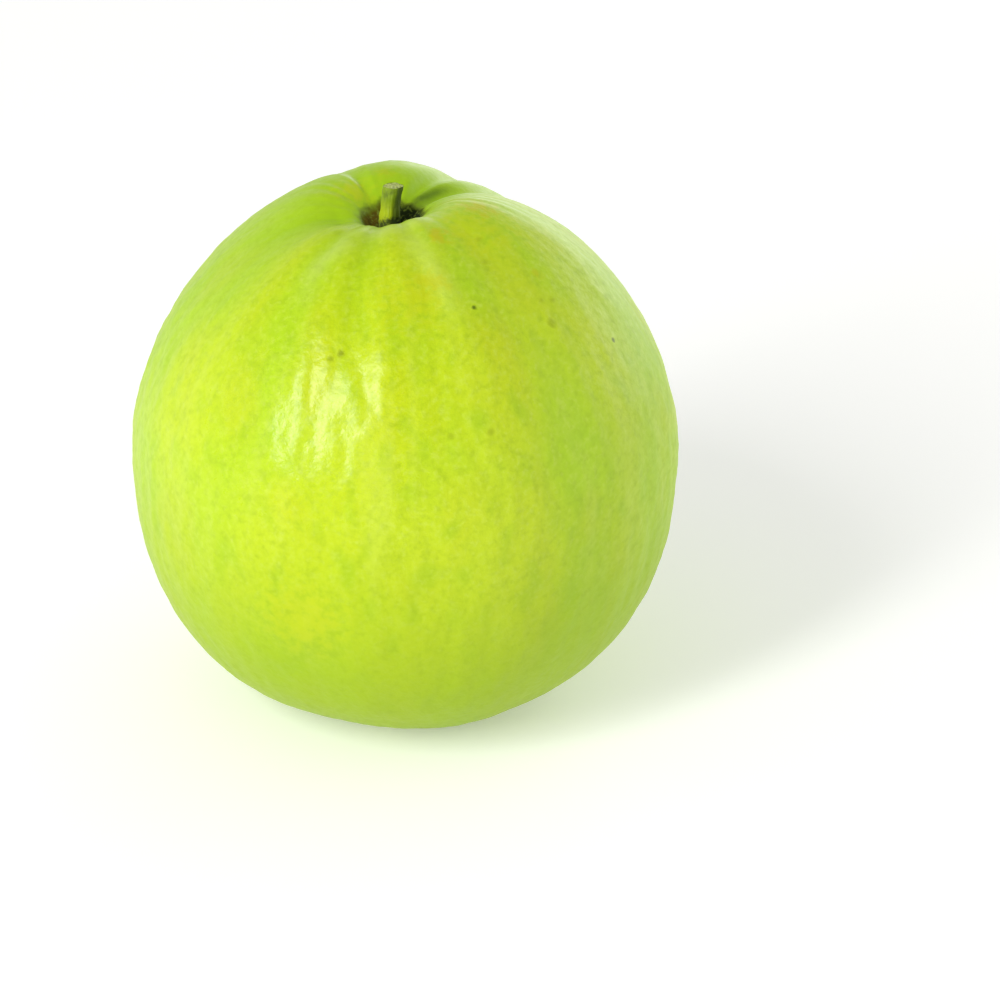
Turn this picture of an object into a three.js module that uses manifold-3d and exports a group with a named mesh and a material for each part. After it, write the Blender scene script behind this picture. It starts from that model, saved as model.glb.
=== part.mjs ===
// A whole guava standing on its blossom end, with the cut stub of its stalk and its dried calyx.
// Millimetres, +Z up. The origin lies on the surface that the fruit stands on, under its middle.
// Angles are in degrees. A polar angle is counted from the stalk down, an azimuth from +X to +Y.
import * as THREE from "three";
import Module from "manifold-3d";

const wasm = await Module();
wasm.setup();

// The fruit's smooth profile: a superellipse above its widest level and another below it.
const FRUIT_RADIUS = 47.5;
const TOP_REACH = 47.2;
const TOP_POWER = 1.92;
const BOTTOM_REACH = 48.9;
const BOTTOM_POWER = 2.45;

// The centre of the widest level, over the surface that the fruit stands on.
const MIDDLE_HEIGHT = 45.75;
const MIDDLE_Y = -0.4;

// The stem cavity, with a narrower pit in it, lies a little to one side of the fruit's axis.
const CAVITY_DEPTH = 6.0;
const CAVITY_WIDTH = 10.0;
const PIT_DEPTH = 2.8;
const PIT_WIDTH = 4.8;
const PIT_POWER = 3;
const CAVITY_SHIFT = -2.8;
const CAVITY_SHIFT_REACH = 19.0;

// The blossom basin under the fruit, puckered round the calyx.
const BASIN_DEPTH = 9.5;
const BASIN_WIDTH = 12.0;
const PUCKERS = { count: 5, height: 0.25, peak: 20, phase: 40 };

// Creases run out of the stem cavity, deepest at the polar angle given as their peak.
const CREASES = [
  { azimuth: 63, depth: 1.5, halfWidth: 7.5, peak: 15 },
  { azimuth: 122, depth: 0.6, halfWidth: 8, peak: 14 },
  { azimuth: 38, depth: 1.9, halfWidth: 11.5, peak: 17 },
  { azimuth: -50, depth: 0.35, halfWidth: 10, peak: 32 },
  { azimuth: -80, depth: 0.35, halfWidth: 6, peak: 28 },
  { azimuth: -106, depth: 0.8, halfWidth: 7, peak: 30 },
  { azimuth: -130, depth: 0.5, halfWidth: 6, peak: 24 },
  { azimuth: -168, depth: 2.2, halfWidth: 20, peak: 17 },
];

// Swellings of the shoulder between the creases. One with a height below 0 is a flatter stretch.
const SHOULDERS = [
  { azimuth: 94, height: 1.9, halfWidth: 28, peak: 15 },
  { azimuth: 132, height: 0.6, halfWidth: 22, peak: 15 },
  { azimuth: -20, height: 2.3, halfWidth: 36, peak: 16 },
  { azimuth: -68, height: 1.2, halfWidth: 25, peak: 7 },
  { azimuth: -140, height: -0.8, halfWidth: 26, peak: 14 },
  { azimuth: 8, height: -0.55, halfWidth: 36, peak: 60 },
];
const RELIEF_STARTS = 3;
const RELIEF_IS_FULL = 13;

// Long faint ribs, strongest at their peak, and the slight ovalness of the whole fruit.
const RIBS = [
  { count: 5, height: 0.22, phase: 20 },
  { count: 7, height: 0.2, phase: 130 },
  { count: 11, height: 0.12, phase: 70 },
  { count: 13, height: 0.1, phase: 200 },
];
const RIB_PEAK = 50;
const RIB_FADE = 1.2;
const OVALS = [
  { count: 2, height: 0.3, phase: 35 },
  { count: 3, height: 0.2, phase: 80 },
];

// The mesh of the skin: bands of rings, each from the last band's end to this polar angle.
const AROUND = 72;
const SKIN_START = 3;
const SKIN_BANDS = [
  { end: 15, rings: 6 },
  { end: 40, rings: 10 },
  { end: 138, rings: 16 },
  { end: 168, rings: 11 },
  { end: 174.1, rings: 3 },
];

// Sockets that the stalk and the calyx are rooted in, and the gap left round each root.
const STALK_SOCKET_DEPTH = 2.8;
const CALYX_SOCKET_DEPTH = 1.3;
const ROOT_GAP = 0.3;

// The stalk: thick at its root, a little square where it was cut, leaning slightly towards +X.
const STALK_ROOT_RADIUS = 2.05;
const STALK_NECK_RADIUS = 1.6;
const STALK_CUT_RADIUS = 1.62;
const STALK_BEND = new THREE.Vector3(-2.8, 0, 43.4);
const STALK_CUT_CENTRE = new THREE.Vector3(-2.1, -0.2, 47.45);
const STALK_CUT_SLANT = -0.06;
const STALK_SLANT_POWER = 3;
const STALK_SIDES = 4;
const STALK_SQUARENESS = 0.05;
const STALK_FLARE_POWER = 3;
const STALK_SWELL_POWER = 4;
const STALK_AROUND = 16;
const STALK_RINGS = 9;

// The calyx: a shallow dried cup with the stump of the style, and five pointed lobes round it.
const CUP_FACE = -41.5;
const CUP_RIM_INSET = 0.7;
const CUP_DEPTH = 0.7;
const STYLE_RADIUS = 0.65;
const STYLE_LENGTH = 1.4;
const CUP_AROUND = 30;
const LOBE_THICKNESS = 0.9;
const LOBE_THINNING = 0.3;
const LOBE_NARROWING = 0.86;
const LOBE_NARROWING_POWER = 1.5;
const LOBE_ROOT_RADIUS = 3.7;
const LOBE_ROOT_DROP = 0.1;
const LOBE_STEPS = 6;
const LOBE_SECTION_POINTS = 10;
const LOBES = [
  { azimuth: 12, length: 5.2, width: 4.7, spread: 55, curl: 8 },
  { azimuth: 86, length: 4.6, width: 4.3, spread: 62, curl: -34 },
  { azimuth: 155, length: 5.3, width: 4.8, spread: 57, curl: -4 },
  { azimuth: 228, length: 4.8, width: 4.5, spread: 60, curl: -28 },
  { azimuth: 301, length: 5.0, width: 4.4, spread: 53, curl: 14 },
];

const SKIN_FINISH = { color: 0xc3e238, roughness: 0.38 };
const STALK_FINISH = { color: 0x9ab02c, roughness: 0.7 };
const CALYX_FINISH = { color: 0x5f4016, roughness: 0.85 };

const radians = THREE.MathUtils.degToRad;

// Height 1 at the peak, 0 at the pole, and fading slowly beyond the peak.
function hump(polar, peak) {
  const reach = polar / radians(peak);
  const start = THREE.MathUtils.smoothstep(polar, radians(RELIEF_STARTS), radians(RELIEF_IS_FULL));
  return start * reach * Math.exp(1 - reach);
}

// Height 1 on the given azimuth, and fading to both sides of it.
function beside(azimuth, middle, halfWidth) {
  const turn = 2 * Math.PI;
  const away = THREE.MathUtils.euclideanModulo(azimuth - radians(middle) + Math.PI, turn) - Math.PI;
  return Math.exp(-((away / radians(halfWidth)) ** 2));
}

function wave({ count, height, phase }, azimuth) {
  return height * Math.cos(count * azimuth + radians(phase));
}

// How far the skin stands out from the smooth profile.
function relief(polar, azimuth) {
  let out = 0;
  for (const { azimuth: middle, depth, halfWidth, peak } of CREASES)
    out -= depth * hump(polar, peak) * beside(azimuth, middle, halfWidth);
  for (const { azimuth: middle, height, halfWidth, peak } of SHOULDERS)
    out += height * hump(polar, peak) * beside(azimuth, middle, halfWidth);
  const ribFade = Math.sin(polar) ** RIB_FADE * hump(polar, RIB_PEAK);
  for (const rib of RIBS) out += ribFade * wave(rib, azimuth);
  for (const oval of OVALS) out += Math.sin(polar) ** 2 * wave(oval, azimuth);
  return out + hump(Math.PI - polar, PUCKERS.peak) * wave(PUCKERS, azimuth);
}

// A point of the smooth profile, as a distance from the axis and a height over the widest level.
function profile(polar) {
  const up = Math.cos(polar) > 0;
  const power = up ? TOP_POWER : BOTTOM_POWER;
  const across = Math.sin(polar);
  const along = Math.cos(polar);
  const scale = (Math.abs(across) ** power + Math.abs(along) ** power) ** (-1 / power);
  return new THREE.Vector2(
    FRUIT_RADIUS * scale * across,
    (up ? TOP_REACH : BOTTOM_REACH) * scale * along,
  );
}

function profileNormal(polar) {
  const step = 1e-4;
  const tangent = profile(polar + step).sub(profile(polar - step)).normalize();
  return new THREE.Vector2(Math.max(-tangent.y, 0), tangent.x);
}

// A point of the skin, about the centre of the widest level. Nothing reaches below the table.
function skin(polar, azimuth) {
  const smooth = profile(polar);
  const { x: radius, y: height } = smooth.clone().addScaledVector(
    profileNormal(polar),
    relief(polar, azimuth),
  );
  const cavity = CAVITY_DEPTH * Math.exp(-((smooth.x / CAVITY_WIDTH) ** 2));
  const pit = PIT_DEPTH * Math.exp(-((smooth.x / PIT_WIDTH) ** PIT_POWER));
  const basin = BASIN_DEPTH * Math.exp(-((smooth.x / BASIN_WIDTH) ** 2));
  const shift = CAVITY_SHIFT * Math.exp(-((smooth.x / CAVITY_SHIFT_REACH) ** 2));
  const up = smooth.y > 0;
  return new THREE.Vector3(
    radius * Math.cos(azimuth) + (up ? shift : 0),
    radius * Math.sin(azimuth),
    Math.max(height + (up ? -cavity - pit : basin), -MIDDLE_HEIGHT),
  );
}

// A closed solid through rings of points, all of one length, with a flat end on the first and
// the last ring. Seen from outside its start, each ring runs anticlockwise.
function loft(rings) {
  const around = rings[0].length;
  const middleOf = (ring) =>
    ring.reduce((sum, p) => sum.add(p), new THREE.Vector3()).divideScalar(around);
  const points = [...rings.flat(), middleOf(rings[0]), middleOf(rings.at(-1))];
  const start = points.length - 2;
  const end = points.length - 1;
  const lastRing = (rings.length - 1) * around;
  const index = [];
  for (let k = 0; k < around; k++) {
    const next = (k + 1) % around;
    index.push(start, k, next);
    for (let row = 0; row < lastRing; row += around) {
      index.push(row + k, row + around + k, row + around + next);
      index.push(row + k, row + around + next, row + next);
    }
    index.push(end, lastRing + next, lastRing + k);
  }
  const geometry = new THREE.BufferGeometry().setFromPoints(points);
  geometry.setIndex(index);
  return geometry;
}

function circle(radius, height, count, centre = new THREE.Vector3()) {
  return Array.from({ length: count }, (_, k) => {
    const angle = (2 * Math.PI * k) / count;
    return new THREE.Vector3(
      centre.x + radius * Math.cos(angle),
      centre.y + radius * Math.sin(angle),
      height,
    );
  });
}

function skinRing(polarDegrees) {
  return Array.from({ length: AROUND }, (_, k) =>
    skin(radians(polarDegrees), (2 * Math.PI * k) / AROUND),
  );
}

function lowered(ring, distance) {
  return ring.map((p) => new THREE.Vector3(p.x, p.y, p.z - distance));
}

function fruitGeometry() {
  const rings = [skinRing(SKIN_START)];
  let from = SKIN_START;
  for (const { end, rings: count } of SKIN_BANDS) {
    for (let k = 1; k <= count; k++) rings.push(skinRing(from + ((end - from) * k) / count));
    from = end;
  }
  rings.unshift(lowered(rings[0], STALK_SOCKET_DEPTH));
  rings.push(lowered(rings.at(-1), -CALYX_SOCKET_DEPTH));
  return loft(rings);
}

// The stalk's root stands in its socket, and its axis bends over to the centre of the cut.
function stalkGeometry() {
  const mouth = skin(radians(SKIN_START), 0);
  const socketCentre = new THREE.Vector3(
    CAVITY_SHIFT * Math.exp(-((profile(radians(SKIN_START)).x / CAVITY_SHIFT_REACH) ** 2)),
    0,
    mouth.z,
  );
  const axis = new THREE.QuadraticBezierCurve3(socketCentre, STALK_BEND, STALK_CUT_CENTRE);
  const rings = [
    circle(
      STALK_ROOT_RADIUS,
      mouth.z - STALK_SOCKET_DEPTH + ROOT_GAP,
      STALK_AROUND,
      socketCentre,
    ),
  ];
  for (let k = 0; k < STALK_RINGS; k++) {
    const along = k / (STALK_RINGS - 1);
    const centre = axis.getPoint(along);
    const flare = (STALK_ROOT_RADIUS - STALK_NECK_RADIUS) * (1 - along) ** STALK_FLARE_POWER;
    const swell = (STALK_CUT_RADIUS - STALK_NECK_RADIUS) * along ** STALK_SWELL_POWER;
    const radius = STALK_NECK_RADIUS + flare + swell;
    const ring = circle(radius, centre.z, STALK_AROUND, centre);
    for (const p of ring) {
      const angle = Math.atan2(p.y - centre.y, p.x - centre.x);
      const square = 1 + STALK_SQUARENESS * along * Math.cos(STALK_SIDES * angle);
      p.x = centre.x + (p.x - centre.x) * square;
      p.y = centre.y + (p.y - centre.y) * square;
      p.z += along ** STALK_SLANT_POWER * STALK_CUT_SLANT * (p.y - centre.y);
    }
    rings.push(ring);
  }
  return loft(rings.reverse());
}

function calyxCupGeometry() {
  const mouth = skin(radians(SKIN_BANDS.at(-1).end), 0);
  const radius = mouth.x - ROOT_GAP;
  const top = mouth.z + CALYX_SOCKET_DEPTH - ROOT_GAP;
  const floor = CUP_FACE + CUP_DEPTH;
  return loft([
    circle(radius, top, CUP_AROUND),
    circle(radius, CUP_FACE, CUP_AROUND),
    circle(radius - CUP_RIM_INSET, CUP_FACE, CUP_AROUND),
    circle(radius - 2 * CUP_RIM_INSET, floor, CUP_AROUND),
    circle(2 * STYLE_RADIUS, floor, CUP_AROUND),
    circle(STYLE_RADIUS, floor - STYLE_LENGTH / 3, CUP_AROUND),
    circle(STYLE_RADIUS, floor - STYLE_LENGTH, CUP_AROUND),
  ]);
}

// One lobe, a curved blade that narrows to a blunt point. Its spread is counted from straight
// down, and its curl turns the tip further out, or back in where it is below 0.
function lobeGeometry({ azimuth, length, width, spread, curl }) {
  const side = new THREE.Vector3(-Math.sin(radians(azimuth)), Math.cos(radians(azimuth)), 0);
  const outward = new THREE.Vector3(side.y, -side.x, 0);
  const down = new THREE.Vector3(0, 0, -1);
  const place = outward.clone().multiplyScalar(LOBE_ROOT_RADIUS);
  place.z = CUP_FACE + LOBE_ROOT_DROP;
  const rings = [];
  for (let k = 0; k <= LOBE_STEPS; k++) {
    const along = k / LOBE_STEPS;
    const lean = radians(spread + curl * along);
    const ahead = outward.clone().multiplyScalar(Math.sin(lean)).addScaledVector(down, Math.cos(lean));
    const inner = new THREE.Vector3().crossVectors(side, ahead);
    const halfWidth = (width / 2) * (1 - LOBE_NARROWING * along ** LOBE_NARROWING_POWER);
    const halfThickness = (LOBE_THICKNESS / 2) * (1 - LOBE_THINNING * along);
    rings.push(
      Array.from({ length: LOBE_SECTION_POINTS }, (_, j) => {
        const angle = (2 * Math.PI * j) / LOBE_SECTION_POINTS;
        return place
          .clone()
          .addScaledVector(side, halfWidth * Math.cos(angle))
          .addScaledVector(inner, halfThickness * Math.sin(angle));
      }),
    );
    place.addScaledVector(ahead, length / LOBE_STEPS);
  }
  return loft(rings);
}

function solidOf(geometry) {
  return new wasm.Manifold(
    new wasm.Mesh({
      numProp: 3,
      vertProperties: geometry.getAttribute("position").array,
      triVerts: new Uint32Array(geometry.getIndex().array),
    }),
  );
}

function geometryOf(solid) {
  const { vertProperties, triVerts } = solid.getMesh();
  const geometry = new THREE.BufferGeometry();
  geometry.setAttribute("position", new THREE.BufferAttribute(vertProperties, 3));
  geometry.setIndex(new THREE.BufferAttribute(triVerts, 1));
  return geometry;
}

function calyxGeometry() {
  let solid = solidOf(calyxCupGeometry());
  for (const lobe of LOBES) solid = solid.add(solidOf(lobeGeometry(lobe)));
  return geometryOf(solid);
}

function piece(name, geometry, finish) {
  geometry.computeVertexNormals();
  const material = new THREE.MeshStandardMaterial({ ...finish, metalness: 0 });
  const mesh = new THREE.Mesh(geometry, material);
  mesh.name = name;
  return mesh;
}

const guava = new THREE.Group();
guava.position.set(0, MIDDLE_Y, MIDDLE_HEIGHT);
guava.add(
  piece("fruit", fruitGeometry(), SKIN_FINISH),
  piece("stalk", stalkGeometry(), STALK_FINISH),
  piece("calyx", calyxGeometry(), CALYX_FINISH),
);

export default guava;
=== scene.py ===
import itertools
from math import atan, radians

import bpy
import numpy as np
from mathutils import Euler, Matrix, Vector


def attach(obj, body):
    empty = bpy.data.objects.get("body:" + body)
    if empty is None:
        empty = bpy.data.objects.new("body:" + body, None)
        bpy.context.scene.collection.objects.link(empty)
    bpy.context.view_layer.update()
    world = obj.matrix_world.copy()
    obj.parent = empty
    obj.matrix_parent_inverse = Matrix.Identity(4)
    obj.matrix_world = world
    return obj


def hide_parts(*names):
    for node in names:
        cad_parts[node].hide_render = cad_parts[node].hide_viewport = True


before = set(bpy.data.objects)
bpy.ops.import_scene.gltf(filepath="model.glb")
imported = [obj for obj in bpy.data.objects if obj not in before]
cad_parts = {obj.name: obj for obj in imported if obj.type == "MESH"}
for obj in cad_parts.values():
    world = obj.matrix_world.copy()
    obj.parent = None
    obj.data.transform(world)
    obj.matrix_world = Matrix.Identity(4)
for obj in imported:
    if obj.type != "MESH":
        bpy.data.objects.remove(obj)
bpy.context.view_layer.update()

MM = 0.001

# The fruit's smooth profile, a superellipse above its widest level and another below it
FRUIT_RADIUS = 47.5
TOP_REACH, TOP_POWER = 47.2, 1.92
BOTTOM_REACH, BOTTOM_POWER = 48.9, 2.45
MIDDLE = Vector((0.0, -0.4, 45.75))

# The stem cavity with its pit, and the blossom basin under the fruit
CAVITY_DEPTH, CAVITY_WIDTH = 6.0, 10.0
PIT_DEPTH, PIT_WIDTH, PIT_POWER = 2.8, 4.8, 3
CAVITY_SHIFT, CAVITY_SHIFT_REACH = -2.8, 19.0
BASIN_DEPTH, BASIN_WIDTH = 9.5, 12.0

# Creases: azimuth, depth, half width, polar angle of the peak
CREASES = (
    (63, 1.5, 7.5, 15),
    (122, 0.6, 8, 14),
    (38, 1.9, 11.5, 17),
    (-50, 0.35, 10, 32),
    (-80, 0.35, 6, 28),
    (-106, 0.8, 7, 30),
    (-130, 0.5, 6, 24),
    (-168, 2.2, 20, 17),
)
# Shoulders: azimuth, height, half width, polar angle of the peak
SHOULDERS = (
    (94, 1.9, 28, 15),
    (132, 0.6, 22, 15),
    (-20, 2.3, 36, 16),
    (-68, 1.2, 25, 7),
    (-140, -0.8, 26, 14),
    (8, -0.55, 36, 60),
)
RELIEF_STARTS, RELIEF_IS_FULL = 3, 13
# Ribs, ovals and puckers: how many round the fruit, height, phase
RIBS = ((5, 0.22, 20), (7, 0.2, 130), (11, 0.12, 70), (13, 0.1, 200))
RIB_PEAK, RIB_FADE = 50, 1.2
OVALS = ((2, 0.3, 35), (3, 0.2, 80))
PUCKERS, PUCKER_PEAK = (5, 0.25, 40), 20

# The skin's mesh: points round it, and bands of rings as polar angle of the end and ring count
AROUND = 512
SKIN_FIRST_RING = 0.4
SKIN_BANDS = ((3, 4), (16, 30), (45, 36), (150, 98), (179.6, 22))

# Low swellings: width and length at the widest level, height, and seed
SWELLINGS = (
    (8.0, 14.0, 0.20, 3),
    (3.6, 5.0, 0.18, 11),
    (1.8, 2.2, 0.10, 5),
)
# How far round the fruit the swellings are turned, so that they break the shine as photographed
SWELLING_TURN = 3.5
# Pleats run down the walls of the cavity and of the basin, most at one angle from either pole
PLEAT_WIDTH, PLEAT_LENGTH, PLEAT_HEIGHT, PLEAT_PEAK, PLEAT_SEED = 5.5, 15.0, 0.14, 11, 8
# Corky tissue round the stalk's root: its reach from the axis, and how sharply it ends there
CORK_REACH, CORK_POWER = 5.0, 4
CORK_SIZE, CORK_HEIGHT, CORK_SEED = 1.1, 0.42, 21

# Raised lines of the shoulder: a path of polar angle and azimuth, half width, height, paleness.
# The paleness is partly the crest's own paler skin and partly painted sheen along the crest.
# A height below 0 makes a groove, and a paleness below 0 makes it darker than the skin beside it, as
# painted shade in the groove.
RIDGES = (
    (((18, -119), (22, -121), (27, -127), (32, -128), (44, -121)), 1.8, 0.18, 0.4),
    (((15, -85), (20, -80), (27, -77), (35, -74), (44, -72)), 2.0, 0.16, 0.3),
    (((20, -124), (15, -106), (13, -86), (13, -60), (14, -35), (17, -5)), 2.4, 0.20, 0.4),
    (((26, -110), (42, -103), (57, -99), (74, -97)), 2.6, -0.34, 0.0),
    (((22, -97), (34, -94), (46, -92)), 2.0, -0.22, 0.0),
    (((42, -117), (52, -114), (62, -112), (76, -109)), 1.8, -0.22, 0.0),
    # This groove carries painted shade: a dark line up the crease behind and right of the stalk
    (((7, 56), (11, 49), (14, 48), (20, 45)), 1.1, -0.25, -0.8),
)
PATH_STEPS = 8
# The shares of a path over which it rises at its start and fades at its end
PATH_RISE, PATH_FADE = 0.25, 0.4

# Colour that changes over the skin: width and length of its patches, and seed
CLOUDS = (17.0, 26.0, 71)
WARMTH = (10.0, 15.0, 74)
BLOTCHES = (3.8, 6.0, 75)
STREAKS = (3.4, 40.0, 72)
# The yellower front of the fruit: its azimuth and half width, and how much greener the rest is, as
# painted shade round its sides
YELLOW_SIDE, YELLOW_SIDE_WIDTH, SIDE_SHADE_GREEN = -98, 75, 1.0
# Greener, darker skin round the cavity, partly the skin's own colour and partly painted shade on the
# top of the fruit, and greener skin in the cavity: how strong, centre, reach
TOP_TINT, TOP_TINT_CENTRE, TOP_TINT_REACH = 0.75, (-5.0, 8.0), 20.0
HOLLOW_TINT, HOLLOW_TINT_REACH = 0.8, 8.0
CREASE_TINT, MOST_CREASE_TINT = 0.30, 0.8
# Painted shade, a greener and darker tint low on the fruit: the polar angles where it starts and is
# full, how strong
LOW_TINT_STARTS, LOW_TINT_IS_FULL, LOW_TINT = 75, 130, 0.8
# A painted sheen, a pale tint standing in for light reflected by the skin, everywhere but on a
# stretch of the front: its azimuth, half width, how strong
PAINTED_SHEEN_GAP, PAINTED_SHEEN_GAP_WIDTH, PAINTED_SHEEN = -105, 55, 0.25
# The glossiest cheek: its polar angle and azimuth, and how far it reaches in each
GLOSS_POLAR, GLOSS_POLAR_REACH, GLOSS_AZIMUTH, GLOSS_AZIMUTH_REACH = 64, 36, -112, 50

NOISE_TABLE = 256
NOISE_GAIN = 1.7


def smoothstep(value, low, high):
    share = np.clip((value - low) / (high - low), 0, 1)
    return share * share * (3 - 2 * share)


def gradient_noise(points, seed):
    """Smooth noise between about -1 and 1, with cells of size 1, the same each run."""
    draw = np.random.default_rng(seed)
    gradients = draw.normal(size=(NOISE_TABLE, 3))
    gradients /= np.linalg.norm(gradients, axis=1, keepdims=True)
    order = draw.permutation(NOISE_TABLE)
    cell = np.floor(points).astype(int)
    inside = points - cell
    fade = inside**3 * (inside * (inside * 6 - 15) + 10)
    total = np.zeros(points.shape[:-1])
    for corner in itertools.product((0, 1), repeat=3):
        at = (cell + corner) % NOISE_TABLE
        pick = order[(order[at[..., 0]] + at[..., 1]) % NOISE_TABLE]
        pick = order[(pick + at[..., 2]) % NOISE_TABLE]
        weight = np.prod(np.where(corner, fade, 1 - fade), axis=-1)
        total += weight * np.sum(gradients[pick] * (inside - corner), axis=-1)
    return NOISE_GAIN * total


def hump(polar, peak):
    """1 at the peak, 0 at the pole, and fading slowly beyond the peak."""
    reach = polar / radians(peak)
    start = smoothstep(polar, radians(RELIEF_STARTS), radians(RELIEF_IS_FULL))
    return start * reach * np.exp(1 - reach)


def beside(azimuth, middle, half_width):
    """1 on the given azimuth, and fading to both sides of it."""
    away = (azimuth - radians(middle) + np.pi) % (2 * np.pi) - np.pi
    return np.exp(-((away / radians(half_width)) ** 2))


def wave(azimuth, count, height, phase):
    return height * np.cos(count * azimuth + radians(phase))


def crease(polar, azimuth):
    """How deep the creases are, in millimetres."""
    return sum(
        depth * hump(polar, peak) * beside(azimuth, middle, half_width)
        for middle, depth, half_width, peak in CREASES
    )


def relief(polar, azimuth):
    """How far the skin stands out from the smooth profile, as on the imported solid."""
    out = -crease(polar, azimuth)
    for middle, height, half_width, peak in SHOULDERS:
        out = out + height * hump(polar, peak) * beside(azimuth, middle, half_width)
    fade = np.abs(np.sin(polar)) ** RIB_FADE * hump(polar, RIB_PEAK)
    out = out + fade * sum(wave(azimuth, *rib) for rib in RIBS)
    out = out + np.sin(polar) ** 2 * sum(wave(azimuth, *oval) for oval in OVALS)
    return out + hump(np.pi - polar, PUCKER_PEAK) * wave(azimuth, *PUCKERS)


def profile(polar):
    """The smooth profile's distance from the axis and height over the widest level."""
    across, along = np.sin(polar), np.cos(polar)
    power = np.where(along > 0, TOP_POWER, BOTTOM_POWER)
    reach = np.where(along > 0, TOP_REACH, BOTTOM_REACH)
    scale = (np.abs(across) ** power + np.abs(along) ** power) ** (-1 / power)
    return FRUIT_RADIUS * scale * across, reach * scale * along


def profile_normal(polar):
    step = 1e-4
    radius_after, height_after = profile(polar + step)
    radius_before, height_before = profile(polar - step)
    along, down = radius_after - radius_before, height_after - height_before
    length = np.hypot(along, down)
    return np.maximum(-down / length, 0), along / length


def skin(polar, azimuth, extra=0.0):
    """Points of the skin about the centre of the widest level. None is below the floor."""
    smooth_radius, smooth_height = profile(polar)
    outward, upward = profile_normal(polar)
    out = relief(polar, azimuth) + extra
    radius = smooth_radius + outward * out
    height = smooth_height + upward * out
    cavity = CAVITY_DEPTH * np.exp(-((smooth_radius / CAVITY_WIDTH) ** 2))
    cavity = cavity + PIT_DEPTH * np.exp(-((smooth_radius / PIT_WIDTH) ** PIT_POWER))
    basin = BASIN_DEPTH * np.exp(-((smooth_radius / BASIN_WIDTH) ** 2))
    shift = CAVITY_SHIFT * np.exp(-((smooth_radius / CAVITY_SHIFT_REACH) ** 2))
    up = smooth_height > 0
    height = np.maximum(height + np.where(up, -cavity, basin), -MIDDLE.z)
    x = radius * np.cos(azimuth) + np.where(up, shift, 0)
    return np.stack([x, radius * np.sin(azimuth), height], axis=-1)


def skin_point(polar_degrees, azimuth_degrees):
    return skin(np.array(radians(polar_degrees)), np.array(radians(azimuth_degrees)))


def grain(polar, azimuth):
    """Coordinates that run with the skin's growth, round the fruit and down it, in millimetres."""
    down = FRUIT_RADIUS * polar
    return np.stack(
        [FRUIT_RADIUS * np.cos(azimuth), FRUIT_RADIUS * np.sin(azimuth), down], axis=-1
    )


def growth_noise(place, width, length, seed):
    """Noise in patches that are drawn out down the fruit."""
    return gradient_noise(place / (width, width, length), seed)


def on_ridge(points, path, half_width):
    """1 on a path over the skin, fading beside it, and fading to both of its ends."""
    along = np.arange(len(path))
    fine = np.linspace(0, len(path) - 1, PATH_STEPS * len(path))
    polars, azimuths = (np.interp(fine, along, turn) for turn in zip(*path))
    line = [skin_point(p, a) for p, a in zip(polars, azimuths)]
    best = np.full(points.shape[:-1], np.inf)
    share = np.zeros(points.shape[:-1])
    for k, point in enumerate(line):
        away = np.sum((points - point) ** 2, axis=-1)
        closer = away < best
        best = np.where(closer, away, best)
        share = np.where(closer, k / (len(line) - 1), share)
    taper = smoothstep(share, 0, PATH_RISE) * smoothstep(1 - share, 0, PATH_FADE)
    return np.exp(-best / half_width**2) * taper


def fine_relief(polar, azimuth, ridges):
    """Low swellings that break up the shine, pleats, the raised ridges and the corky pit."""
    place = grain(polar, azimuth + radians(SWELLING_TURN))
    out = np.zeros(place.shape[:-1])
    for width, length, height, seed in SWELLINGS:
        out += height * growth_noise(place, width, length, seed)
    out *= np.sin(polar) ** 2
    pleats = growth_noise(place, PLEAT_WIDTH, PLEAT_LENGTH, PLEAT_SEED)
    out += PLEAT_HEIGHT * pleats * (hump(polar, PLEAT_PEAK) + hump(np.pi - polar, PLEAT_PEAK))
    for (_, _, height, _), ridge in zip(RIDGES, ridges):
        out += height * ridge
    smooth = skin(polar, azimuth)
    radius, height = profile(polar)
    cork = np.where(height > 0, np.exp(-((radius / CORK_REACH) ** CORK_POWER)), 0)
    return out + CORK_HEIGHT * cork * gradient_noise(smooth / CORK_SIZE, CORK_SEED)


def to_metres(points):
    return (np.asarray(points, float).reshape(-1, 3) + np.array(MIDDLE)) * MM


def make_piece(name, points, faces, material, node, slot):
    """A smooth mesh of points about the fruit's middle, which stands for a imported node."""
    mesh = bpy.data.meshes.new(name)
    mesh.from_pydata(to_metres(points).tolist(), [], faces)
    mesh.shade_smooth()
    mesh.materials.append(material)
    piece = bpy.data.objects.new(name, mesh)
    bpy.context.scene.collection.objects.link(piece)
    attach(piece, "root")
    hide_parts(node)
    return piece


def loft(rows):
    """Points and faces of a closed skin over rings, each with as many points as the others."""
    rows = np.asarray(rows, float)
    count, around = rows.shape[:2]
    points = np.vstack([rows.reshape(-1, 3), rows[0].mean(axis=0), rows[-1].mean(axis=0)])
    start, end, last = count * around, count * around + 1, (count - 1) * around
    faces = []
    for k in range(around):
        after = (k + 1) % around
        faces.append((start, k, after))
        for row in range(0, last, around):
            faces.append((row + k, row + around + k, row + around + after, row + after))
        faces.append((end, last + after, last + k))
    return points, faces


def with_poles(values):
    """Values on rings, laid out as loft lays out its points."""
    values = np.asarray(values, float)
    return np.concatenate([values.ravel(), [values[0].mean(), values[-1].mean()]])


def joined(shapes):
    """Several lofts as one set of points and faces."""
    points, faces, count = [], [], 0
    for shape_points, shape_faces in shapes:
        points.append(shape_points)
        faces += [tuple(count + corner for corner in face) for face in shape_faces]
        count += len(shape_points)
    return np.vstack(points), faces


def add_attribute(piece, name, values):
    """A value for each point, which the piece's material reads."""
    piece.data.attributes.new(name, "FLOAT", "POINT").data.foreach_set("value", values)


# Most of a noise's values lie in this span
NOISE_SPAN = (0.3, 0.7)


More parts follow.
